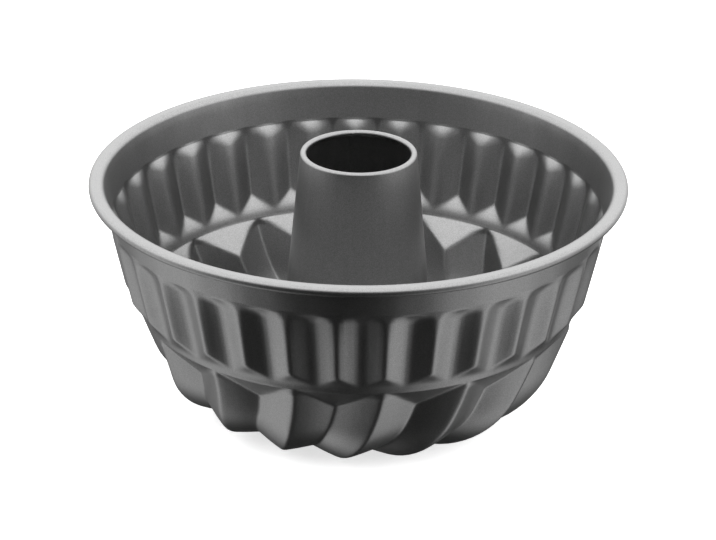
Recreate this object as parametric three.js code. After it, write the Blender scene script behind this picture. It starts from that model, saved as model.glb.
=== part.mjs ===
// Fluted tube pan: a cake mould of coated sheet steel. Upright pleats stand over a swirled lower
// tier, the rim is rolled round a wire, and a tapered tube is seamed into the floor.
// Millimetres, +Z up, with the origin on the table under the tube's axis and the front facing -Y.
import * as THREE from 'three';

// Sheet and clearance
const SHEET = 0.6; // thickness of the shell and of the tube
const GAP = 0.3; // clearance between pieces that touch
// Rim: a flattened roll turned outward
const RIM_DIAMETER = 220;
const RIM_HEIGHT = 100; // top of the rim above the table
const RIM_DEPTH = 3.8; // roll, measured upright
const RIM_FLAT = 2.3; // flat stretch on top of the roll
const RIM_MOUTH = 0.9; // opening between the rolled edge and the wall
// Upper tier: plain band, upright pleats, step ring
const WALL_DRAFT = THREE.MathUtils.degToRad(11.5);
const BAND_HEIGHT = 15; // rim top to the tops of the upper pleats
const UPPER_HEIGHT = 35.2; // upper pleats, down to the step ring
const UPPER_DEPTH = 2.1; // recess of an upper valley at its top
const RIDGE_PROUD = 1.0; // swell of an upper ridge beyond the band, near its top
const RING_PROUD = 0.2; // what is left of it at the foot of the ridge
const UPPER_CREST = 2.0; // width of the rounding on an upper ridge
const VALLEY_FACET = 6.0; // height of the slope at the top of an upper valley
const RIDGE_FACET = 6.0; // height of the slope at the foot of an upper ridge
const RING_STEP = 3.4; // recess of the step ring from the line of the wall
const RING_HEIGHT = 3.3;
// Lower tier: swirled pleats that round in to the floor
const FLUTES = 16; // lower pleats, each under two upper ones
const LOWER_DRAFT = THREE.MathUtils.degToRad(18.4);
const LOWER_DEPTH = 5.4; // recess of a lower valley on the wall
const LOWER_PROUD = 0.9; // swell of a lower ridge under the ring, gone at mid length
const BASE_DEPTH = 3.4; // recess of a lower valley under the floor
const LOWER_CREST = 3.0; // width of the rounding on a lower ridge
const LOWER_FACET = 13.0; // length of the slope at the top of a lower valley
const SWIRL = THREE.MathUtils.degToRad(19.6); // turn of a lower ridge from the ring to the table
const SWIRL_START = 0.1; // share of an even turn; the rest builds up toward the floor
// Floor: a foot on each ridge, a rise and a flat seat round the tube
const FOOT_WIDTH = 4.0;
const RISE_WIDTH = 4.6;
const SEAT_WIDTH = 4.6;
// Centre tube
const TUBE_RISE = 11.1; // tube top above the rim
const TUBE_TOP_DIAMETER = 47.8;
const TUBE_FOOT_DIAMETER = 67.6;
const TUBE_ROLL = 2.6; // diameter of the edge rolled into the bore
const TUBE_ROLL_TURN = THREE.MathUtils.degToRad(250);
// Seam: the tube's foot is folded up round the collar of the shell
const SEAM_LIFT = 0.5; // fold above the table
const SEAM_DEPTH = 1.2; // straight overlap of fold and collar
// Fineness of the facets
const QUARTER_STEPS = 2; // along a quarter turn of a roll or fold
const CORNER_STEPS = 6; // from the lower facet to the table
const TUBE_SIDES = 64;
const WIRE_SIDES = 8;
const WIRE_STEPS = 96;

const PITCH = (2 * Math.PI) / FLUTES;
const HALF = SHEET / 2;
const BEND = SHEET + GAP; // middle radius of a fold that leaves room for one sheet
const QUARTER = Math.PI / 2;

// Points of the sheet's middle line lie in a half plane: r from the axis, z above the table.
const at = (r, z) => ({ r, z });

// A point at an angle from the front, counted towards +X.
function place({ r, z }, angle) {
  return new THREE.Vector3(r * Math.sin(angle), -r * Math.cos(angle), z);
}

function arc(centre, radius, from, to, steps) {
  return Array.from({ length: steps + 1 }, (_, i) => {
    const angle = from + ((to - from) * i) / steps;
    return at(centre.r + radius * Math.cos(angle), centre.z + radius * Math.sin(angle));
  });
}

// Gives a grid of points its thickness. Each row is a closed ring of points on the sheet's middle,
// and every facet is moved out by half a sheet to both sides, so corners are mitred.
// falls(i, j) tells whether the sheet falls from ridge to valley after column j, because the
// crease of a facet runs from the ridge above to the valley below.
function sheetGeometry(rows, falls) {
  const count = rows[0].length;
  const cells = [];
  for (let i = 0; i + 1 < rows.length; i++) {
    for (let j = 0; j < count; j++) {
      const k = (j + 1) % count;
      const [a, b, c, d] = [[i, j], [i, k], [i + 1, k], [i + 1, j]];
      if (falls(i, j)) cells.push([a, b, c], [a, c, d]);
      else cells.push([a, b, d], [b, c, d]);
    }
  }
  const normals = rows.map((row) => row.map(() => []));
  for (const cell of cells) {
    const [a, b, c] = cell.map(([i, j]) => rows[i][j]);
    const normal = b.clone().sub(a).cross(c.clone().sub(a)).normalize();
    for (const [i, j] of cell) normals[i][j].push(normal);
  }
  const shifts = normals.map((row) => row.map(mitre));
  const last = 2 * rows.length - 1;
  const index = (side, i, j) => (side > 0 ? i : last - i) * count + j;
  const positions = [];
  for (const side of [1, -1]) {
    const order = rows.map((_, i) => (side > 0 ? i : rows.length - 1 - i));
    for (const i of order) {
      rows[i].forEach((point, j) => positions.push(...point.clone().addScaledVector(shifts[i][j], side)));
    }
  }
  const faces = [];
  for (const [a, b, c] of cells) {
    faces.push(index(1, ...a), index(1, ...b), index(1, ...c));
    faces.push(index(-1, ...a), index(-1, ...c), index(-1, ...b));
  }
  for (let j = 0; j < count; j++) {
    const k = (j + 1) % count;
    const end = rows.length - 1;
    faces.push(index(1, 0, k), index(1, 0, j), index(-1, 0, j));
    faces.push(index(1, 0, k), index(-1, 0, j), index(-1, 0, k));
    faces.push(index(1, end, j), index(1, end, k), index(-1, end, k));
    faces.push(index(1, end, j), index(-1, end, k), index(-1, end, j));
  }
  const geometry = new THREE.BufferGeometry();
  geometry.setAttribute('position', new THREE.Float32BufferAttribute(positions, 3));
  geometry.setIndex(faces);
  geometry.computeVertexNormals();
  return geometry;
}

// The shift that moves every plane at a corner by half a sheet, as nearly as one point can.
function mitre(planes) {
  const stiffness = 0.02;
  const middle = new THREE.Vector3();
  for (const plane of planes) middle.add(plane);
  middle.normalize();
  const sum = new Array(9).fill(0);
  const goal = middle.clone().multiplyScalar(stiffness * HALF);
  for (let a = 0; a < 3; a++) sum[4 * a] = stiffness;
  for (const plane of planes) {
    const n = plane.toArray();
    for (let a = 0; a < 3; a++) {
      for (let b = 0; b < 3; b++) sum[3 * a + b] += n[a] * n[b];
    }
    goal.addScaledVector(plane, HALF);
  }
  return goal.applyMatrix3(new THREE.Matrix3().set(...sum).invert());
}

// Where the tube stands in the floor
const footRadius = TUBE_FOOT_DIAMETER / 2;
const collarRadius = footRadius + GAP + HALF;
const foldCentre = at(collarRadius, SEAM_LIFT + HALF + BEND);
const seatHeight = foldCentre.z + SEAM_DEPTH + BEND;
const baseRadius = collarRadius + SEAT_WIDTH + RISE_WIDTH + FOOT_WIDTH;

// Rim roll and the straight line of the wall below it
const rimRadius = RIM_DIAMETER / 2;
const rollRadius = RIM_DEPTH / 2 - HALF;
const rollHeight = RIM_HEIGHT - RIM_DEPTH / 2;
const outerRoll = at(rimRadius - RIM_DEPTH / 2, rollHeight);
const innerRoll = at(outerRoll.r - RIM_FLAT, rollHeight);
const wallTop = at(
  innerRoll.r - rollRadius * Math.cos(WALL_DRAFT),
  innerRoll.z + rollRadius * Math.sin(WALL_DRAFT),
);
const wallAt = (z, inset = 0) => at(wallTop.r - (wallTop.z - z) * Math.tan(WALL_DRAFT) - inset, z);

// Heights of the upper tier
const bandFoot = RIM_HEIGHT - BAND_HEIGHT;
const ringTop = bandFoot - UPPER_HEIGHT;
const ringFoot = ringTop - RING_HEIGHT;
const ringAt = (z) => wallAt(z, RING_STEP);

// Line of a lower ridge: straight down the wall, then round on to the table.
const ridgeTop = ringAt(ringFoot);
const ridgeLength = (ridgeTop.z - HALF) / Math.cos(LOWER_DRAFT);
const cornerReach = ridgeTop.r - ridgeLength * Math.sin(LOWER_DRAFT) - baseRadius;
const cornerTangent = Math.min(cornerReach, ridgeLength);
const cornerRadius = cornerTangent * Math.tan(Math.PI / 4 + LOWER_DRAFT / 2);
const straightLength = ridgeLength - cornerTangent;
const cornerLength = cornerRadius * (QUARTER - LOWER_DRAFT);
const swirlLength = straightLength + cornerLength;

// Point of that line and its inward direction, a length s below the ring.
function ridgeAt(s) {
  const bend = Math.max(0, s - straightLength) / cornerRadius;
  const lean = LOWER_DRAFT + Math.min(bend, QUARTER - LOWER_DRAFT);
  const straight = Math.min(s, straightLength);
  const centre = at(
    ridgeTop.r - straightLength * Math.sin(LOWER_DRAFT) - cornerRadius * Math.cos(LOWER_DRAFT),
    HALF + cornerRadius,
  );
  const point = bend > 0
    ? at(centre.r + cornerRadius * Math.cos(lean), centre.z - cornerRadius * Math.sin(lean))
    : at(ridgeTop.r - straight * Math.sin(LOWER_DRAFT), ridgeTop.z - straight * Math.cos(LOWER_DRAFT));
  return { point, inward: at(-Math.cos(lean), Math.sin(lean)) };
}

const swirlAt = (s) => {
  const share = s / swirlLength;
  return -SWIRL * (SWIRL_START * share + (1 - SWIRL_START) * share * share);
};

// Columns of one lower pleat, as shares of its pitch: two on each crest, one on each flank.
const pleatColumns = (crest) => [-crest, crest, 1 / 4, 1 / 2 - crest, 1 / 2 + crest, 3 / 4];
const COLUMN_COUNT = pleatColumns(0).length;
const EVEN = 1 / (2 * COLUMN_COUNT); // crest share that spaces the columns evenly
const ROUND = [1, 1, 1, 1, 1, 1]; // how much of a ridge each column is
const UPPER = [1, 1, 0, 1, 1, 0]; // an upper ridge at each crest, a valley between
const LOWER = [1, 1, 0.5, 0, 0, 0.5]; // a ridge at the first crest, a valley at the second

// One ring of the shell. ridge and valley are points of the middle line, tier says how much of a
// ridge each column is, and crest is the width kept for the rounding of a ridge.
function shellRow({ ridge, valley = ridge, tier = ROUND, crest = 0, turn = 0 }) {
  const columns = pleatColumns(crest > 0 ? crest / (2 * PITCH * ridge.r) : EVEN);
  const row = [];
  for (let flute = 0; flute < FLUTES; flute++) {
    columns.forEach((column, j) => {
      const r = valley.r + (ridge.r - valley.r) * tier[j];
      const z = valley.z + (ridge.z - valley.z) * tier[j];
      row.push(place(at(r, z), (flute + column) * PITCH + turn));
    });
  }
  return row;
}

// Draws the flank of each lower pleat straight from its ridge, in the row given, to its valley.
function straightenFlanks(row, ridgeRow) {
  for (let first = 0; first < row.length; first += COLUMN_COUNT) {
    const next = (first + COLUMN_COUNT) % row.length;
    row[first + 2].lerpVectors(ridgeRow[first + 1], row[first + 3], 0.5);
    row[first + 5].lerpVectors(row[first + 4], ridgeRow[next], 0.5);
  }
}

function shellSheet() {
  const rows = [];
  const tiers = [];
  const add = (tier, row) => {
    rows.push(shellRow(row));
    tiers.push(tier);
  };
  const round = (points, turn) => points.forEach((ridge) => add(ROUND, { ridge, turn }));

  // Rim, from the rolled edge under it to the wall
  const rollFoot = rollHeight - rollRadius;
  round([at(wallAt(rollFoot).r + SHEET + RIM_MOUTH, rollFoot)]);
  round(arc(outerRoll, rollRadius, -QUARTER, QUARTER, 2 * QUARTER_STEPS));
  round(arc(innerRoll, rollRadius, QUARTER, 2 * QUARTER - WALL_DRAFT, QUARTER_STEPS));

  // Upper pleats
  const upper = (ridge, valley) => add(UPPER, { ridge, valley, tier: UPPER, crest: UPPER_CREST });
  const valleyTop = wallAt(bandFoot - VALLEY_FACET, UPPER_DEPTH);
  const valleyFoot = ringAt(ringTop);
  const ridgeEnd = ringTop + RIDGE_FACET;
  const fall = (valleyTop.r - valleyFoot.r) / (valleyTop.z - valleyFoot.z);
  upper(wallAt(bandFoot));
  upper(wallAt(valleyTop.z, -RIDGE_PROUD), valleyTop);
  upper(wallAt(ridgeEnd, -RING_PROUD), at(valleyFoot.r + RIDGE_FACET * fall, ridgeEnd));
  upper(valleyFoot);

  // Lower pleats, from the step ring to the table
  add(LOWER, { ridge: ridgeTop, crest: LOWER_CREST });
  const ringRow = rows.at(-1);
  const lower = (ridge, valley, s) => {
    add(LOWER, { ridge, valley, tier: LOWER, crest: LOWER_CREST, turn: swirlAt(s) });
    straightenFlanks(rows.at(-1), rows.at(-1));
  };
  for (let i = 0; i <= CORNER_STEPS; i++) {
    const s = LOWER_FACET + ((swirlLength - LOWER_FACET) * i) / CORNER_STEPS;
    const fade = Math.max(0, s - straightLength) / cornerLength;
    const depth = LOWER_DEPTH + (BASE_DEPTH - LOWER_DEPTH) * fade;
    const { point, inward } = ridgeAt(s);
    const swell = LOWER_PROUD * Math.max(0, 1 - (2 * s) / swirlLength);
    const ridge = at(point.r - swell * inward.r, point.z - swell * inward.z);
    lower(ridge, at(point.r + depth * inward.r, point.z + depth * inward.z), s);
    if (i === 0) straightenFlanks(rows.at(-1), ringRow);
  }
  const footEnd = at(baseRadius - FOOT_WIDTH, HALF);
  const footLength = swirlLength + FOOT_WIDTH;
  lower(footEnd, at(footEnd.r, footEnd.z + BASE_DEPTH), footLength);

  // Rise, seat and collar
  const bendCentre = at(collarRadius + BEND, seatHeight - BEND);
  const turn = swirlAt(footLength);
  round([at(footEnd.r - RISE_WIDTH, seatHeight)], turn);
  round(arc(bendCentre, BEND, QUARTER, 2 * QUARTER, QUARTER_STEPS), turn);
  round([foldCentre], turn);

  const falls = (i, j) => {
    const column = j % COLUMN_COUNT;
    return tiers[i][column] > tiers[i][(column + 1) % COLUMN_COUNT];
  };
  return sheetGeometry(rows, falls);
}

function tubeSheet() {
  const topHeight = RIM_HEIGHT + TUBE_RISE;
  const rollCentre = at((TUBE_TOP_DIAMETER - TUBE_ROLL) / 2, topHeight - TUBE_ROLL / 2);
  const radius = TUBE_ROLL / 2 - HALF;
  const spread = footRadius - HALF - rollCentre.r - radius;
  const draft = Math.atan2(spread, rollCentre.z - seatHeight);
  const profile = [
    ...arc(rollCentre, radius, TUBE_ROLL_TURN, draft, 4 * QUARTER_STEPS),
    at(footRadius - HALF, seatHeight),
    ...arc(foldCentre, BEND, 2 * QUARTER, 4 * QUARTER, 2 * QUARTER_STEPS),
    at(foldCentre.r + BEND, foldCentre.z + SEAM_DEPTH),
  ];
  const angles = Array.from({ length: TUBE_SIDES }, (_, j) => (2 * Math.PI * j) / TUBE_SIDES);
  const rows = profile.map((point) => angles.map((angle) => place(point, angle)));
  return sheetGeometry(rows, () => true);
}

function coatedSteel(color, roughness) {
  return new THREE.MeshStandardMaterial({ color, roughness, metalness: 0.6 });
}

// Fluted shell, drawn from one disc of sheet
const shell = new THREE.Mesh(shellSheet(), coatedSteel('#7c7d7f', 0.35));
shell.name = 'fluted_shell';

// Wire inside the rolled rim
const wireRadius = RIM_DEPTH / 2 - SHEET - GAP;
const wire = new THREE.Mesh(
  new THREE.TorusGeometry(outerRoll.r, wireRadius, WIRE_SIDES, WIRE_STEPS),
  new THREE.MeshStandardMaterial({ color: '#9c9c9a', roughness: 0.4, metalness: 0.9 }),
);
wire.name = 'rim_wire';
wire.position.z = rollHeight;

// Centre tube, rolled from sheet
const tube = new THREE.Mesh(tubeSheet(), coatedSteel('#7c7d7f', 0.35));
tube.name = 'centre_tube';

const pan = new THREE.Group();
pan.add(shell, wire, tube);

export default pan;
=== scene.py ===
"""Fluted tube pan: a pleated shell of coated steel sheet, a wire in its rolled rim and a centre tube."""

import math
from collections import namedtuple

import bpy
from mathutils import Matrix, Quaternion, Vector


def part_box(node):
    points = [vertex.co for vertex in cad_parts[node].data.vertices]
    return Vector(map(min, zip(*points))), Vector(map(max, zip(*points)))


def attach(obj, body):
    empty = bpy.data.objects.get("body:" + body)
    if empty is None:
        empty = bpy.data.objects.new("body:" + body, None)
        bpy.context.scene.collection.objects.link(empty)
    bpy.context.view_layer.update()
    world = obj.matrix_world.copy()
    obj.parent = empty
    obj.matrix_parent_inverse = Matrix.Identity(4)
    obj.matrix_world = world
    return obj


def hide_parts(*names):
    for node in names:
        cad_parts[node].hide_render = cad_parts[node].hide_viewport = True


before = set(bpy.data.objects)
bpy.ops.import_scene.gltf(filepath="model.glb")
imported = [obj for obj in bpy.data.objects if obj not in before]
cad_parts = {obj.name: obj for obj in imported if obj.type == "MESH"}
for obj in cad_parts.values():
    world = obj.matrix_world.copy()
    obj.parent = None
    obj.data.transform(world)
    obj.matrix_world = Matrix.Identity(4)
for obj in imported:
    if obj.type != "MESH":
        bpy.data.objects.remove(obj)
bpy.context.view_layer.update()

# Camera: a long lens that looks down into the pan from the front, standing a little to its left.
# It aims at the tube's axis, a little above half the height of the rim.
picture_width = 716
sensor_width = 36.0
focal_pixels = 3448.0
far_limit = 100.0
rim_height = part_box("fluted_shell")[1].z
camera_distance = 1.4067
camera_turn = math.radians(-6.68)
camera_rise = math.radians(23.09)
camera_roll = math.radians(0.58)
camera_aim = Vector((0.0002, 0.0, 0.05797))
camera_place = Vector((0.0, 0.0, rim_height)) + camera_distance * Vector((
    math.cos(camera_rise) * math.sin(camera_turn),
    -math.cos(camera_rise) * math.cos(camera_turn),
    math.sin(camera_rise),
))
camera_lens = bpy.data.cameras.new("camera")
camera_lens.lens = focal_pixels * sensor_width / picture_width
camera_lens.sensor_width = sensor_width
camera_lens.sensor_fit = "HORIZONTAL"
camera_lens.clip_end = far_limit
camera = bpy.data.objects.new("camera", camera_lens)
camera.location = camera_place
camera_view = (camera_aim - camera_place).to_track_quat("-Z", "Y")
camera.rotation_mode = "QUATERNION"
camera.rotation_quaternion = camera_view @ Quaternion((0.0, 0.0, 1.0), camera_roll)
bpy.context.scene.collection.objects.link(camera)
bpy.context.scene.camera = camera

# Fluted shell: one disc of steel sheet, deep drawn into a cup whose rim is rolled outward. Upright
# pleats, a step ring and swirled pleats are pressed into the wall, and the collar of the centre
# hole is turned down to be seamed to the tube. Both sides have a dark grey non-stick coating.
sheet = 0.0006
clearance = 0.0003
shell_low, shell_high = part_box("fluted_shell")
box_margin = 0.00001
rim_radius = min(shell_high.x, shell_high.y, -shell_low.x, -shell_low.y) - box_margin
rim_depth = 0.0038
rim_flat = 0.0020
rim_bend = 0.0024  # radius of the bend from the flat top into the wall
rim_mouth = 0.0009  # opening between the rolled edge and the wall

# Upper pleats, two for each lower one, under a plain band
flutes = 16
wall_draft = math.radians(11.5)
band_height = 0.015
upper_height = 0.0352
upper_depth = 0.0024  # recess of a valley below its top slope
upper_crest = 0.0022  # width of the rounding on a ridge
upper_hollow = 0.10  # roundness of a valley
ridge_proud = 0.0010  # swell of a ridge beyond the band
ring_proud = 0.0002  # what is left of it at the ridge's foot
shoulder_height = 0.0055
valley_facet = 0.0042
valley_step = 0.00025  # small step at the top edge of a valley
valley_step_height = 0.0006
facet_drop = 0.0008
ridge_facet = 0.0048

# Step ring
ring_step = 0.0034  # recess of the ring from the line of the wall
ring_reach = 0.0038  # recess that the upper valleys run out to
ring_height = 0.0033

# Lower pleats, which swirl and round on to the table
lower_draft = math.radians(18.4)
lower_depth = 0.0054
base_depth = 0.0034  # recess of a valley under the floor
lower_crest = 0.0011
lower_hollow = 0.02
lower_proud = 0.0009  # swell of a ridge under the ring
lower_shoulder = 0.0030
lower_start = 0.0006
lower_facet = 0.0130
swirl = math.radians(19.6)
swirl_start = 0.10  # share of an even turn; the rest builds up toward the floor

# Floor round the tube, and the collar of its seam
foot_width = 0.0040
rise_width = 0.0046
seat_width = 0.0046
tube_foot_radius = 0.0338
seam_lift = 0.0005
seam_depth = 0.0012

# Roundness of the pressed creases
crease_softness = 0.0008
valley_softness = 0.0032
ridge_softness = 0.0020
ring_softness = 0.0044

# Spacing of the rows and columns that the sheet is drawn with
crease_zone = 0.0016
row_unit = 0.0001
roll_steps = 10
bend_steps = 6
corner_steps = 14
foot_steps = 3
rise_steps = 6
collar_steps = 4
quarter_shares = (0.0, 0.07, 0.16, 0.34, 0.66, 0.84, 0.93)

# Coating: two greys, its range of roughness, and its flecks, clouds and drawing lines
coat_dark = (0.20, 0.20, 0.20, 1.0)
coat_light = (0.30, 0.30, 0.30, 1.0)
coat_smooth = 0.35
coat_rough = 0.41
haze_low = 0.2
haze_high = 0.8
fleck_scale = 2600.0
fleck_low = 0.35
fleck_high = 0.65
fleck_share = 0.7
fleck_height = 0.0001
fleck_strength = 0.08
cloud_scale = 28.0
cloud_share = 0.7
line_scale = 420.0
line_share = 0.3
line_squeeze = 0.04

half_sheet = sheet / 2
fold_radius = sheet + clearance
collar_radius = tube_foot_radius + clearance + half_sheet
fold_height = seam_lift + half_sheet + fold_radius
seat_height = fold_height + seam_depth + fold_radius
base_radius = collar_radius + seat_width + rise_width + foot_width

roll_radius = rim_depth / 2 - half_sheet
roll_height = rim_height - rim_depth / 2
outer_roll = rim_radius - rim_depth / 2
bend_radius = outer_roll - rim_flat
bend_height = rim_height - half_sheet - rim_bend
wall_top = bend_height + rim_bend * math.sin(wall_draft)
wall_top_radius = bend_radius - rim_bend * math.cos(wall_draft)
band_foot = rim_height - band_height
valley_top = band_foot - valley_facet
facet_top = band_foot - facet_drop
ring_top = band_foot - upper_height
ring_foot = ring_top - ring_height
ridge_end = ring_top + ridge_facet


def wall_radius(height):
    """Radius of the plain wall, which ridges swell from and valleys sink into."""
    return wall_top_radius - (wall_top - height) * math.tan(wall_draft)


ridge_top_radius = wall_radius(ring_foot) - ring_step
ridge_length = (ring_foot - half_sheet) / math.cos(lower_draft)
corner_tangent = ridge_top_radius - ridge_length * math.sin(lower_draft) - base_radius
corner_radius = corner_tangent * math.tan(math.pi / 4 + lower_draft / 2)
straight_length = ridge_length - corner_tangent
swirl_length = straight_length + corner_radius * (math.pi / 2 - lower_draft)
foot_length = swirl_length + foot_width
rise_length = foot_length + rise_width

# A row is one level of the plain cup: where it runs on a ridge, how much lower it runs in a valley,
# and how far along the wall it lies below the step ring. A stop is a level on a ridge and in a
# valley, with the number of rows that lead to it.
Row = namedtuple("Row", "radius height drop down tier")
Stop = namedtuple("Stop", "ridge valley rows")
ROUND, UPPER, LOWER = 0, 1, 2


def arc(radius_centre, height_centre, radius, first, last, steps):
    """Points of an arc in the half plane of the profile, both ends included."""
    points = []
    for step in range(steps + 1):
        angle = first + (last - first) * step / steps
        points.append((
            radius_centre + radius * math.cos(angle),
            height_centre + radius * math.sin(angle),
        ))
    return points


def levels_between(stops):
    """Pairs of levels, on a ridge and in a valley, that follow the first stop."""
    pairs = []
    for start, end in zip(stops, stops[1:]):
        for step in range(1, end.rows + 1):
            share = step / end.rows
            pairs.append((
                start.ridge + (end.ridge - start.ridge) * share,
                start.valley + (end.valley - start.valley) * share,
            ))
    return pairs


def upper_levels():
    """Heights of the upper rows, which crowd at the creases of the facets."""
    return levels_between([
        Stop(wall_top, wall_top, 0),
        Stop(band_foot + 50 * row_unit, band_foot + 50 * row_unit, 2),
        Stop(band_foot + crease_zone, band_foot + crease_zone, 1),
        Stop(band_foot + 4 * row_unit, band_foot + 3 * row_unit, 2),
        Stop(band_foot + row_unit, band_foot - valley_step_height, 3),
        Stop(band_foot - 4 * row_unit, facet_top + row_unit, 2),
        Stop(band_foot - 10 * row_unit, facet_top - 8 * row_unit, 3),
        Stop(band_foot - 20 * row_unit, valley_top + crease_zone, 2),
        Stop(band_foot - 36 * row_unit, valley_top - crease_zone, 6),
        Stop(ridge_end + crease_zone, ring_top + crease_zone, 5),
        Stop(ridge_end - crease_zone, ring_top + 4 * row_unit, 6),
        Stop(ring_top + 12 * row_unit, ring_top - 2 * row_unit, 2),
        Stop(ring_top - 12 * row_unit, ring_top - 12 * row_unit, 4),
        Stop(ring_foot + 10 * row_unit, ring_foot + 10 * row_unit, 1),
        Stop(ring_foot + 3 * row_unit, ring_foot + 3 * row_unit, 2),
    ])


def lower_levels():
    """Distances of the lower rows below the step ring, down to the end of the straight wall."""
    top = (0.0, 0.0)
    return [top] + levels_between([
        Stop(*top, 0),
        Stop(8 * row_unit, 16 * row_unit, 3),
        Stop(13 * row_unit, lower_facet - crease_zone, 3),
        Stop(45 * row_unit, lower_facet + crease_zone, 6),
        Stop(straight_length, straight_length, 4),
    ])


def ridge_point(down):
    """Point of a lower ridge's line, a distance below the step ring."""
    if down <= straight_length:
        return (
            ridge_top_radius - down * math.sin(lower_draft),
            ring_foot - down * math.cos(lower_draft),
        )
    lean = lower_draft + (down - straight_length) / corner_radius
    return (
        base_radius + corner_radius * math.cos(lean),
        half_sheet + corner_radius * (1 - math.sin(lean)),
    )


def cup_rows():
    """Rows of the plain cup, from the edge under the rim over the wall to the collar."""
    quarter = math.pi / 2
    roll_foot = roll_height - roll_radius
    rim = [(wall_radius(roll_foot) + sheet + rim_mouth, roll_foot)]
    rim += arc(outer_roll, roll_height, roll_radius, -quarter, quarter, roll_steps)
    rim += arc(bend_radius, bend_height, rim_bend, quarter, 2 * quarter - wall_draft, bend_steps)
    rows = [Row(radius, height, 0.0, 0.0, ROUND) for radius, height in rim]
    for ridge, valley in upper_levels():
        rows.append(Row(wall_radius(ridge), ridge, ridge - valley, 0.0, UPPER))
    for ridge, valley in lower_levels():
        rows.append(Row(*ridge_point(ridge), valley - ridge, ridge, LOWER))
    for step in range(1, corner_steps + 1):
        down = straight_length + (swirl_length - straight_length) * step / corner_steps
        rows.append(Row(*ridge_point(down), 0.0, down, LOWER))
    for step in range(1, foot_steps + 1):
        inward = foot_width * step / foot_steps
        rows.append(Row(base_radius - inward, half_sheet, 0.0, swirl_length + inward, LOWER))
    foot_radius = base_radius - foot_width
    for step in range(1, rise_steps + 1):
        share = step / rise_steps
        inward = rise_width * share
        height = half_sheet + (seat_height - half_sheet) * share * share * (3 - 2 * share)
        rows.append(Row(foot_radius - inward, height, 0.0, foot_length + inward, LOWER))
    collar_bend = (collar_radius + fold_radius, seat_height - fold_radius, fold_radius)
    collar = arc(*collar_bend, quarter, 2 * quarter, collar_steps)
    collar.append((collar_radius, fold_height))
    rows += [Row(radius, height, 0.0, rise_length, ROUND) for radius, height in collar]
    return rows


def revolved_mesh(name, profile, angles):
    """Closed ring of quads through the profile's points, with its faces outward."""
    count = len(angles)
    vertices = [
        (radius * math.sin(angle), -radius * math.cos(angle), height)
        for radius, height in profile
        for angle in angles
    ]
    faces = []
    for level in range(len(profile) - 1):
        for column in range(count):
            beside = (column + 1) % count
            above, below = level * count, (level + 1) * count
            faces.append((above + column, below + column, below + beside, above + beside))
    mesh = bpy.data.meshes.new(name)
    mesh.from_pydata(vertices, [], faces)
    return mesh


class Sums:
    """Arithmetic of a node tree: each call adds a node and hands on its result."""

    def __init__(self, tree):
        self.tree = tree

    def node(self, kind, **settings):
        made = self.tree.nodes.new(kind)
        for name, value in settings.items():
            setattr(made, name, value)
        return made

    def plug(self, socket, value):
        if isinstance(value, bpy.types.NodeSocket):
            self.tree.links.new(value, socket)
        else:
            socket.default_value = value

    def math(self, operation, *values):
        made = self.node("ShaderNodeMath", operation=operation)
        for socket, value in zip(made.inputs, values):
            self.plug(socket, value)
        return made.outputs[0]

    def ramp(self, value, start, end, first, last, clamp=False, course="LINEAR"):
        """A ramp: first where the value is start, last where it is end."""
        made = self.node("ShaderNodeMapRange", interpolation_type=course, clamp=clamp)
        for socket, number in zip(made.inputs, (value, start, end, first, last)):
            self.plug(socket, number)
        return made.outputs[0]

    def attribute(self, name):
        made = self.node("GeometryNodeInputNamedAttribute", data_type="FLOAT")
        made.inputs["Name"].default_value = name
        return made.outputs["Attribute"]


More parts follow.
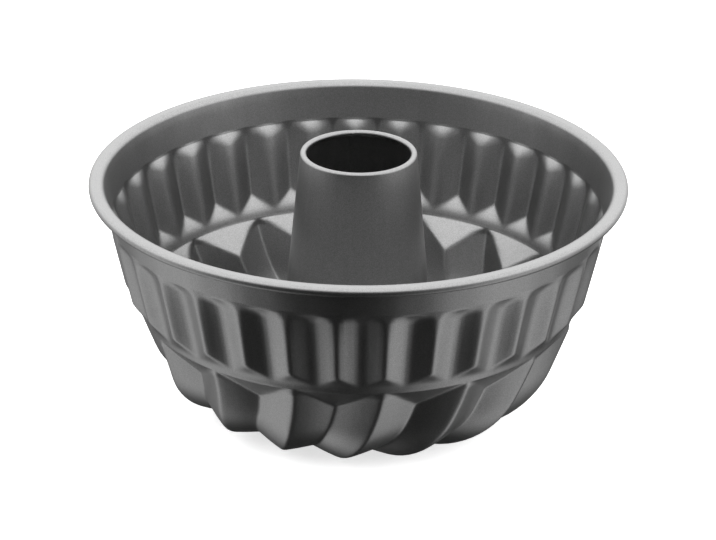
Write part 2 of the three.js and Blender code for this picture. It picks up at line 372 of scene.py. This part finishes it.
def pleat_tree(sizes):
    """The rule of the pleats: it folds and swirls the plain cup, with an input for each size."""
    tree = bpy.data.node_groups.new("pleats", "GeometryNodeTree")
    tree.interface.new_socket("Geometry", in_out="INPUT", socket_type="NodeSocketGeometry")
    for name, value in sizes.items():
        kind = "NodeSocketInt" if isinstance(value, int) else "NodeSocketFloat"
        tree.interface.new_socket(name, in_out="INPUT", socket_type=kind)
    tree.interface.new_socket("Coating", in_out="INPUT", socket_type="NodeSocketMaterial")
    tree.interface.new_socket("Geometry", in_out="OUTPUT", socket_type="NodeSocketGeometry")
    sums = Sums(tree)
    given = sums.node("NodeGroupInput").outputs
    place = sums.node("ShaderNodeSeparateXYZ")
    tree.links.new(sums.node("GeometryNodeInputPosition").outputs[0], place.inputs[0])
    x, y, height = place.outputs
    angle = sums.math("ARCTAN2", x, sums.math("MULTIPLY", y, -1.0))
    radius = sums.math("SQRT", sums.math("MULTIPLY_ADD", x, x, sums.math("MULTIPLY", y, y)))
    drop = sums.attribute("drop")
    down = sums.attribute("down")
    tier = sums.attribute("tier")

    def fold(phase, crest, hollow):
        """Wave with straight flanks: 0 on a ridge with a tight bend and 1 in a valley with a wide one."""
        rounded = sums.math("MULTIPLY", sums.math("COSINE", crest), sums.math("COSINE", phase))
        span = sums.math("SUBTRACT", math.pi, sums.math("MULTIPLY", crest, 2.0))
        rest = sums.math("ADD", 0.5, sums.math("DIVIDE", sums.math("ARCSINE", rounded), span))
        square = sums.math("MULTIPLY", hollow, hollow)
        bend = sums.math("SQRT", sums.math("MULTIPLY_ADD", rest, rest, square))
        whole = sums.math("SQRT", sums.math("ADD", 1.0, square))
        fallen = sums.math("SUBTRACT", whole, bend)
        return sums.math("DIVIDE", fallen, sums.math("SUBTRACT", whole, hollow))

    def shaped(geometry, tier_number, angle, radius, height):
        """Moves the rows of one tier to their new places."""
        move = sums.node("GeometryNodeSetPosition")
        moved = sums.node("ShaderNodeCombineXYZ")
        backward = sums.math("MULTIPLY", radius, sums.math("COSINE", angle))
        sums.plug(moved.inputs["X"], sums.math("MULTIPLY", radius, sums.math("SINE", angle)))
        sums.plug(moved.inputs["Y"], sums.math("MULTIPLY", backward, -1.0))
        sums.plug(moved.inputs["Z"], height)
        sums.plug(move.inputs["Geometry"], geometry)
        sums.plug(move.inputs["Selection"], sums.math("COMPARE", tier, float(tier_number), 0.1))
        sums.plug(move.inputs["Position"], moved.outputs[0])
        return move.outputs[0]

    # Upper tier: flanks that end in a slope at the top of each valley, and in a shoulder at the
    # top and a slope at the foot of each ridge
    soft = given["Softness"]
    phase = sums.math("MULTIPLY", angle, sums.math("MULTIPLY", given["Flutes"], 2.0))
    upper_fold = fold(phase, given["Upper Crest"], given["Upper Hollow"])
    lowered = sums.math("MULTIPLY", upper_fold, drop)
    level = sums.math("SUBTRACT", height, lowered)
    depth_range = (given["Upper Depth"], given["Ring Reach"])
    depth = sums.ramp(level, given["Valley Top"], given["Ring Top"], *depth_range)
    proud_range = (given["Ridge Proud"], given["Ring Proud"])
    proud = sums.ramp(level, given["Band Foot"], given["Ring Top"], *proud_range)
    rise_and_fall = sums.math("MULTIPLY", upper_fold, sums.math("ADD", depth, proud))
    flank = sums.math("SUBTRACT", rise_and_fall, proud)
    shoulder_span = sums.math("MULTIPLY", given["Shoulder Height"], 2.0)
    shoulder_foot = sums.math("SUBTRACT", given["Band Foot"], shoulder_span)
    shoulder_depth = sums.math("MULTIPLY", given["Ridge Proud"], -2.0)
    shoulder = sums.ramp(level, given["Band Foot"], shoulder_foot, 0.0, shoulder_depth, clamp=True)
    edge_foot = sums.math("SUBTRACT", given["Band Foot"], given["Step Height"])
    edge = sums.ramp(level, given["Band Foot"], edge_foot, 0.0, given["Valley Step"], clamp=True)
    scoop_range = (given["Valley Step"], given["Upper Depth"])
    scoop = sums.ramp(level, given["Facet Top"], given["Valley Top"], *scoop_range)
    edge_softness = sums.math("MULTIPLY", given["Valley Step"], 0.5)
    valley_slope = sums.math("SMOOTH_MAX", edge, scoop, edge_softness)
    ridge_line = sums.math("MULTIPLY", given["Ring Proud"], -1.0)
    ridge_slope = sums.ramp(level, given["Ridge End"], given["Ring Top"], ridge_line, given["Ring Step"])
    inset = sums.math("SMOOTH_MIN", flank, valley_slope, given["Valley Softness"])
    inset = sums.math("SMOOTH_MAX", inset, ridge_slope, given["Ridge Softness"])
    inset = sums.math("SMOOTH_MAX", inset, shoulder, soft)
    inset = sums.math("SMOOTH_MIN", inset, given["Ring Step"], given["Ring Softness"])
    slant = sums.math("MULTIPLY", lowered, sums.math("TANGENT", given["Wall Draft"]))
    upper_radius = sums.math("SUBTRACT", sums.math("SUBTRACT", radius, slant), inset)
    geometry = shaped(given["Geometry"], UPPER, angle, upper_radius, level)

    # Lower tier: flanks under a slope at the top of each valley, rounded in to the floor. The
    # ridges swell under the ring, and the swell is gone at mid length.
    phase = sums.math("MULTIPLY", angle, given["Flutes"])
    lower_fold = fold(phase, given["Lower Crest"], given["Lower Hollow"])
    shift = sums.math("MULTIPLY", lower_fold, drop)
    along = sums.math("ADD", down, shift)
    corner = (along, given["Straight"], given["Corner End"])
    lean = sums.ramp(*corner, given["Lower Draft"], math.pi / 2, clamp=True)
    depth = sums.ramp(*corner, given["Lower Depth"], given["Base Depth"], clamp=True)
    fade = sums.ramp(along, given["Foot End"], given["Rise End"], 1.0, 0.0, clamp=True)
    swell_end = sums.math("MULTIPLY", given["Corner End"], 0.5)
    swell = sums.math(
        "MULTIPLY",
        sums.ramp(along, 0.0, given["Lower Shoulder"], 0.0, given["Lower Proud"], clamp=True),
        sums.ramp(along, 0.0, swell_end, 1.0, 0.0, clamp=True),
    )
    fold_depth = sums.math("MULTIPLY_ADD", depth, fade, swell)
    flank = sums.math("SUBTRACT", sums.math("MULTIPLY", lower_fold, fold_depth), swell)
    valley_slope = sums.ramp(along, given["Lower Start"], given["Lower Facet"], 0.0, given["Lower Depth"])
    inset = sums.math("SMOOTH_MIN", flank, valley_slope, soft)
    ridge_line = sums.math("MULTIPLY", swell, -1.0)
    inset = sums.math("SMOOTH_MAX", inset, ridge_line, sums.math("MULTIPLY", soft, 0.5))
    shift_inward = sums.math("MULTIPLY", shift, sums.math("SINE", given["Lower Draft"]))
    shift_down = sums.math("MULTIPLY", shift, sums.math("COSINE", given["Lower Draft"]))
    inward = sums.math("MULTIPLY_ADD", inset, sums.math("COSINE", lean), shift_inward)
    lift = sums.math("SUBTRACT", sums.math("MULTIPLY", inset, sums.math("SINE", lean)), shift_down)
    share = sums.math("DIVIDE", sums.math("MINIMUM", along, given["Foot End"]), given["Corner End"])
    even = sums.math("MULTIPLY", given["Swirl Start"], share)
    growing_share = sums.math("SUBTRACT", 1.0, given["Swirl Start"])
    growing = sums.math("MULTIPLY", growing_share, sums.math("MULTIPLY", share, share))
    turn = sums.math("MULTIPLY", given["Swirl"], sums.math("ADD", even, growing))
    lower_radius = sums.math("SUBTRACT", radius, inward)
    lower_angle = sums.math("SUBTRACT", angle, turn)
    geometry = shaped(geometry, LOWER, lower_angle, lower_radius, sums.math("ADD", height, lift))

    realize = sums.node("GeometryNodeRealizeInstances")
    coat = sums.node("GeometryNodeSetMaterial")
    tree.links.new(geometry, realize.inputs[0])
    tree.links.new(realize.outputs[0], coat.inputs["Geometry"])
    tree.links.new(given["Coating"], coat.inputs["Material"])
    tree.links.new(coat.outputs[0], sums.node("NodeGroupOutput").inputs[0])
    return tree


def coat_texture():
    """Surface of a baked coating on drawn sheet: fine flecks, soft clouds and upright drawing lines."""
    tree = bpy.data.node_groups.new("coat_texture", "ShaderNodeTree")
    for name in ("Vector", "Fleck Scale", "Cloud Scale", "Line Scale"):
        kind = "NodeSocketVector" if name == "Vector" else "NodeSocketFloat"
        tree.interface.new_socket(name, in_out="INPUT", socket_type=kind)
    for name in ("Tone", "Haze", "Height"):
        tree.interface.new_socket(name, in_out="OUTPUT", socket_type="NodeSocketFloat")
    sums = Sums(tree)
    given = sums.node("NodeGroupInput").outputs
    shown = sums.node("NodeGroupOutput").inputs
    upright = sums.node("ShaderNodeMapping")
    tree.links.new(given["Vector"], upright.inputs["Vector"])
    upright.inputs["Scale"].default_value = (1.0, 1.0, line_squeeze)

    def noise(vector, scale, detail):
        made = sums.node("ShaderNodeTexNoise")
        tree.links.new(vector, made.inputs["Vector"])
        tree.links.new(scale, made.inputs["Scale"])
        made.inputs["Detail"].default_value = detail
        return made.outputs["Fac"]

    fleck = noise(given["Vector"], given["Fleck Scale"], detail=2.0)
    cloud = noise(given["Vector"], given["Cloud Scale"], detail=3.0)
    line = noise(upright.outputs[0], given["Line Scale"], detail=2.0)
    faint_line = sums.math("MULTIPLY", line, line_share)
    grain = sums.ramp(fleck, fleck_low, fleck_high, 0.0, 1.0, clamp=True)
    tree.links.new(sums.math("MULTIPLY_ADD", grain, fleck_share, faint_line), shown["Tone"])
    tree.links.new(sums.math("MULTIPLY_ADD", cloud, cloud_share, faint_line), shown["Haze"])
    tree.links.new(fleck, shown["Height"])
    return tree


texture_of_coat = coat_texture()


def coated_steel(name):
    """Dark grey coating with a metal sheen."""
    material = bpy.data.materials.new(name)
    material.use_nodes = True
    tree = material.node_tree
    sums = Sums(tree)
    surface = tree.nodes["Principled BSDF"]
    surface.inputs["Metallic"].default_value = 1.0
    coordinates = sums.node("ShaderNodeTexCoord")
    texture = sums.node("ShaderNodeGroup", node_tree=texture_of_coat)
    tree.links.new(coordinates.outputs["Object"], texture.inputs["Vector"])
    texture.inputs["Fleck Scale"].default_value = fleck_scale
    texture.inputs["Cloud Scale"].default_value = cloud_scale
    texture.inputs["Line Scale"].default_value = line_scale
    tint = sums.node("ShaderNodeMix", data_type="RGBA")
    tint.inputs["A"].default_value = coat_dark
    tint.inputs["B"].default_value = coat_light
    tree.links.new(texture.outputs["Tone"], tint.inputs["Factor"])
    tree.links.new(tint.outputs["Result"], surface.inputs["Base Color"])
    haze = texture.outputs["Haze"]
    roughness = sums.ramp(haze, haze_low, haze_high, coat_smooth, coat_rough, clamp=True)
    tree.links.new(roughness, surface.inputs["Roughness"])
    bump = sums.node("ShaderNodeBump")
    bump.inputs["Strength"].default_value = fleck_strength
    bump.inputs["Distance"].default_value = fleck_height
    tree.links.new(texture.outputs["Height"], bump.inputs["Height"])
    tree.links.new(bump.outputs["Normal"], surface.inputs["Normal"])
    return material


def thicken(piece):
    """Gives a piece made as the sheet's middle its thickness."""
    wall = piece.modifiers.new("sheet", "SOLIDIFY")
    wall.thickness = sheet
    wall.offset = 0.0
    wall.use_even_offset = True
    wall.use_quality_normals = True


def finish_piece(name, rough_piece, material, node):
    """Turns a piece with its modifiers into a plain smooth mesh in place of its node."""
    scene_now = bpy.context.evaluated_depsgraph_get()
    mesh = bpy.data.meshes.new_from_object(rough_piece.evaluated_get(scene_now))
    bpy.data.objects.remove(rough_piece)
    mesh.name = name
    mesh.materials.clear()
    mesh.materials.append(material)
    mesh.polygons.foreach_set("use_smooth", [True] * len(mesh.polygons))
    piece = bpy.data.objects.new(name, mesh)
    bpy.context.scene.collection.objects.link(piece)
    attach(piece, "root")
    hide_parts(node)


shell_coat = coated_steel("shell_coating")
quarter_pleat = math.pi / (2 * flutes)
shell_angles = [
    (quarter + share) * quarter_pleat
    for quarter in range(4 * flutes)
    for share in quarter_shares
]
shell_rows = cup_rows()
cup = revolved_mesh("cup", [(row.radius, row.height) for row in shell_rows], shell_angles)
for name in ("drop", "down", "tier"):
    attribute = cup.attributes.new(name, "FLOAT", "POINT")
    values = [float(getattr(row, name)) for row in shell_rows for _ in shell_angles]
    attribute.data.foreach_set("value", values)

upper_radian = wall_radius(valley_top) / (2 * flutes)
lower_radian = ridge_top_radius / flutes
pleat_sizes = {
    "Flutes": flutes,
    "Wall Draft": wall_draft,
    "Band Foot": band_foot,
    "Valley Top": valley_top,
    "Facet Top": facet_top,
    "Valley Step": valley_step,
    "Step Height": valley_step_height,
    "Ridge End": ridge_end,
    "Ring Top": ring_top,
    "Upper Depth": upper_depth,
    "Upper Crest": upper_crest / 2 / upper_radian,
    "Upper Hollow": upper_hollow,
    "Ridge Proud": ridge_proud,
    "Ring Proud": ring_proud,
    "Shoulder Height": shoulder_height,
    "Ring Step": ring_step,
    "Ring Reach": ring_reach,
    "Lower Draft": lower_draft,
    "Lower Depth": lower_depth,
    "Lower Crest": lower_crest / 2 / lower_radian,
    "Lower Hollow": lower_hollow,
    "Lower Proud": lower_proud,
    "Lower Shoulder": lower_shoulder,
    "Lower Start": lower_start,
    "Lower Facet": lower_facet,
    "Base Depth": base_depth,
    "Straight": straight_length,
    "Corner End": swirl_length,
    "Foot End": foot_length,
    "Rise End": rise_length,
    "Swirl": swirl,
    "Swirl Start": swirl_start,
    "Softness": crease_softness,
    "Valley Softness": valley_softness,
    "Ridge Softness": ridge_softness,
    "Ring Softness": ring_softness,
}
rough_shell = bpy.data.objects.new("rough_shell", cup)
bpy.context.scene.collection.objects.link(rough_shell)
pleats = rough_shell.modifiers.new("pleats", "NODES")
pleats.node_group = pleat_tree(pleat_sizes)
for socket in pleats.node_group.interface.items_tree:
    if socket.in_out == "INPUT" and socket.name in pleat_sizes:
        pleats[socket.identifier] = pleat_sizes[socket.name]
    if socket.in_out == "INPUT" and socket.name == "Coating":
        pleats[socket.identifier] = shell_coat
thicken(rough_shell)
finish_piece("shell", rough_shell, shell_coat, "fluted_shell")

# Rim wire: plain drawn steel wire, bent into one ring that the edge of the shell is rolled round.
# It stiffens the rim and lies hidden in the roll, uncoated, with the fine marks of drawing.
wire_dark = (0.48, 0.48, 0.47, 1.0)
wire_light = (0.60, 0.60, 0.59, 1.0)
wire_smooth = 0.3
wire_rough = 0.45
wire_mark_scale = 900.0
wire_mark_low = 0.2
wire_mark_high = 0.8
wire_steel = bpy.data.materials.new("rim_wire_steel")
wire_steel.use_nodes = True
wire_tree = wire_steel.node_tree
wire_sums = Sums(wire_tree)
wire_surface = wire_tree.nodes["Principled BSDF"]
wire_surface.inputs["Metallic"].default_value = 1.0
wire_place = wire_sums.node("ShaderNodeTexCoord")
wire_noise = wire_sums.node("ShaderNodeTexNoise")
wire_noise.inputs["Scale"].default_value = wire_mark_scale
wire_tree.links.new(wire_place.outputs["Object"], wire_noise.inputs["Vector"])
wire_marks = wire_noise.outputs["Fac"]
wire_tint = wire_sums.node("ShaderNodeMix", data_type="RGBA")
wire_tint.inputs["A"].default_value = wire_dark
wire_tint.inputs["B"].default_value = wire_light
wire_tree.links.new(wire_marks, wire_tint.inputs["Factor"])
wire_tree.links.new(wire_tint.outputs["Result"], wire_surface.inputs["Base Color"])
wire_range = (wire_mark_low, wire_mark_high, wire_smooth, wire_rough)
wire_tree.links.new(wire_sums.ramp(wire_marks, *wire_range, clamp=True), wire_surface.inputs["Roughness"])
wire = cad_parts["rim_wire"]
wire.data.materials.clear()
wire.data.materials.append(wire_steel)

# Centre tube: a tapered tube rolled from the same coated sheet and welded along its back. Its top
# edge is rolled into the bore, and its foot is folded out and up round the collar of the shell.
tube_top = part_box("centre_tube")[1].z - box_margin
tube_top_radius = 0.0239
tube_roll = 0.0026
tube_roll_turn = math.radians(250)
tube_roll_steps = 18
tube_wall_steps = 12
tube_fold_steps = 8
tube_sides = 144
weld_angle = math.radians(181)
weld_width = 0.0006
weld_depth = 0.00018
weld_sharpness = 1.6
weld_offsets = (-2, -1, -0.4, 0, 0.4, 1, 2)


def tube_profile():
    """Middle line of the tube's sheet, from the rolled edge down to the folded foot."""
    roll = tube_roll / 2 - half_sheet
    roll_centre = tube_top_radius - tube_roll / 2
    roll_level = tube_top - tube_roll / 2
    wall_foot = tube_foot_radius - half_sheet
    draft = math.atan2(wall_foot - roll_centre - roll, roll_level - seat_height)
    line = arc(roll_centre, roll_level, roll, tube_roll_turn, draft, tube_roll_steps)
    top_radius, top_level = line[-1]
    for step in range(1, tube_wall_steps + 1):
        share = step / tube_wall_steps
        line.append((
            top_radius + (wall_foot - top_radius) * share,
            top_level + (seat_height - top_level) * share,
        ))
    line += arc(collar_radius, fold_height, fold_radius, math.pi, 2 * math.pi, tube_fold_steps)
    line.append((collar_radius + fold_radius, fold_height + seam_depth))
    return line


tube_coat = coated_steel("tube_coating")
plain_step = 2 * math.pi / tube_sides
tube_angles = [weld_angle + offset * weld_width / tube_top_radius for offset in weld_offsets]
tube_angles += [weld_angle + plain_step * side for side in range(2, tube_sides - 1)]
tube_mesh = revolved_mesh("tube", tube_profile(), tube_angles)
for vertex in tube_mesh.vertices:
    angle = math.atan2(vertex.co.x, -vertex.co.y)
    around = math.remainder(angle - weld_angle, 2 * math.pi)
    sink = weld_depth * math.exp(-(around * tube_top_radius / weld_width * weld_sharpness) ** 2)
    outward = Vector((vertex.co.x, vertex.co.y, 0.0)).normalized()
    if vertex.co.z > seat_height:
        vertex.co -= outward * sink
rough_tube = bpy.data.objects.new("rough_tube", tube_mesh)
bpy.context.scene.collection.objects.link(rough_tube)
thicken(rough_tube)
finish_piece("tube", rough_tube, tube_coat, "centre_tube")

# Floor: a wide pale table. The pan's reflections show the room below it in its place, and seen
# directly it has a white glow of its own, so that only the closest part of the shadow shows.
floor_reach = 30.0
floor_colour = (0.85, 0.85, 0.85, 1.0)
floor_glow_colour = (1.0, 1.0, 1.0, 1.0)
floor_glow = 0.65
patch_radius = 0.043
patch_rise = 0.0002
patch_sides = 64
floor_paint = bpy.data.materials.new("floor_paint")
floor_paint.use_nodes = True
floor_sums = Sums(floor_paint.node_tree)
floor_surface = floor_paint.node_tree.nodes["Principled BSDF"]
floor_surface.inputs["Base Color"].default_value = floor_colour
floor_surface.inputs["Roughness"].default_value = 1.0
floor_surface.inputs["Specular IOR Level"].default_value = 0.0
floor_surface.inputs["Emission Color"].default_value = floor_glow_colour
seen_directly = floor_sums.node("ShaderNodeLightPath").outputs["Is Camera Ray"]
glow_seen = floor_sums.math("MULTIPLY", seen_directly, floor_glow)
floor_sums.plug(floor_surface.inputs["Emission Strength"], glow_seen)


def floor_piece(name, points):
    """One flat face of the painted floor."""
    mesh = bpy.data.meshes.new(name)
    mesh.from_pydata(points, [], [tuple(range(len(points)))])
    mesh.materials.append(floor_paint)
    piece = bpy.data.objects.new(name, mesh)
    bpy.context.scene.collection.objects.link(piece)
    return piece


floor_corners = [(-1, -1), (1, -1), (1, 1), (-1, 1)]
floor = floor_piece("floor", [(x * floor_reach, y * floor_reach, 0.0) for x, y in floor_corners])
floor.visible_glossy = False
patch_turns = [2 * math.pi * side / patch_sides for side in range(patch_sides)]
patch = floor_piece("floor_patch", [
    (patch_radius * math.cos(turn), patch_radius * math.sin(turn), patch_rise)
    for turn in patch_turns
])

# Light: a soft white dome, tilted back so that the room in front stays dark. Below it the room is
# pale at both sides and dark in front, which gives each pleat one light and one dark flank.
dome_strength = 2.4
dome_edge_strength = 0.45 * dome_strength
dome_full_height = 0.38
dome_tilt = math.radians(32)
dome_fade_start = -0.12
dome_fade_end = 0.25
room_white = (1.0, 1.0, 1.0, 1.0)
room_strength = 1.2
room_front_strength = 0.025
side_fade_start = 0.1
side_fade_end = 0.9
steep_fade_start = 0.15
steep_fade_end = 0.4
dark_turn = camera_turn - math.radians(9)
front = Vector((math.sin(dark_turn), -math.cos(dark_turn), 0.0))
dome_pole = Vector((0.0, 0.0, math.cos(dome_tilt))) - math.sin(dome_tilt) * front
room = bpy.data.worlds.new("room")
room.use_nodes = True
room_tree = room.node_tree
room_sums = Sums(room_tree)
room_light = room_tree.nodes["Background"]
room_light.inputs["Color"].default_value = room_white
room_direction = room_sums.node("ShaderNodeTexCoord").outputs["Generated"]


def towards(axis):
    """How far a direction in the room points along an axis."""
    made = room_sums.node("ShaderNodeVectorMath", operation="DOT_PRODUCT")
    room_tree.links.new(room_direction, made.inputs[0])
    made.inputs[1].default_value = axis
    return made.outputs["Value"]


upward = towards(Vector((0.0, 0.0, 1.0)))
steepness = room_sums.math("MULTIPLY", upward, upward)
level_part = room_sums.math("SQRT", room_sums.math("SUBTRACT", 1.0, steepness))
frontal = room_sums.math("DIVIDE", room_sums.math("ABSOLUTE", towards(front)), level_part)
side_fade = (side_fade_start, side_fade_end, room_strength, room_front_strength)
side_glow = room_sums.ramp(frontal, *side_fade, course="SMOOTHSTEP")
steep_fade = room_sums.ramp(level_part, steep_fade_start, steep_fade_end, 0.0, 1.0, clamp=True)
dome_grade = (0.0, dome_full_height, dome_edge_strength, dome_strength)
dome_glow = room_sums.ramp(upward, *dome_grade, clamp=True)
dome_fade = (dome_fade_start, dome_fade_end, 0.0, 1.0)
dome_share = room_sums.ramp(towards(dome_pole), *dome_fade, course="SMOOTHSTEP")
room_glow = room_sums.node("ShaderNodeMix", data_type="FLOAT")
room_sums.plug(room_glow.inputs["Factor"], dome_share)
room_sums.plug(room_glow.inputs["A"], room_sums.math("MULTIPLY", side_glow, steep_fade))
room_sums.plug(room_glow.inputs["B"], dome_glow)
room_tree.links.new(room_glow.outputs["Result"], room_light.inputs["Strength"])
bpy.context.scene.world = room
bpy.context.scene.view_settings.view_transform = "Standard"
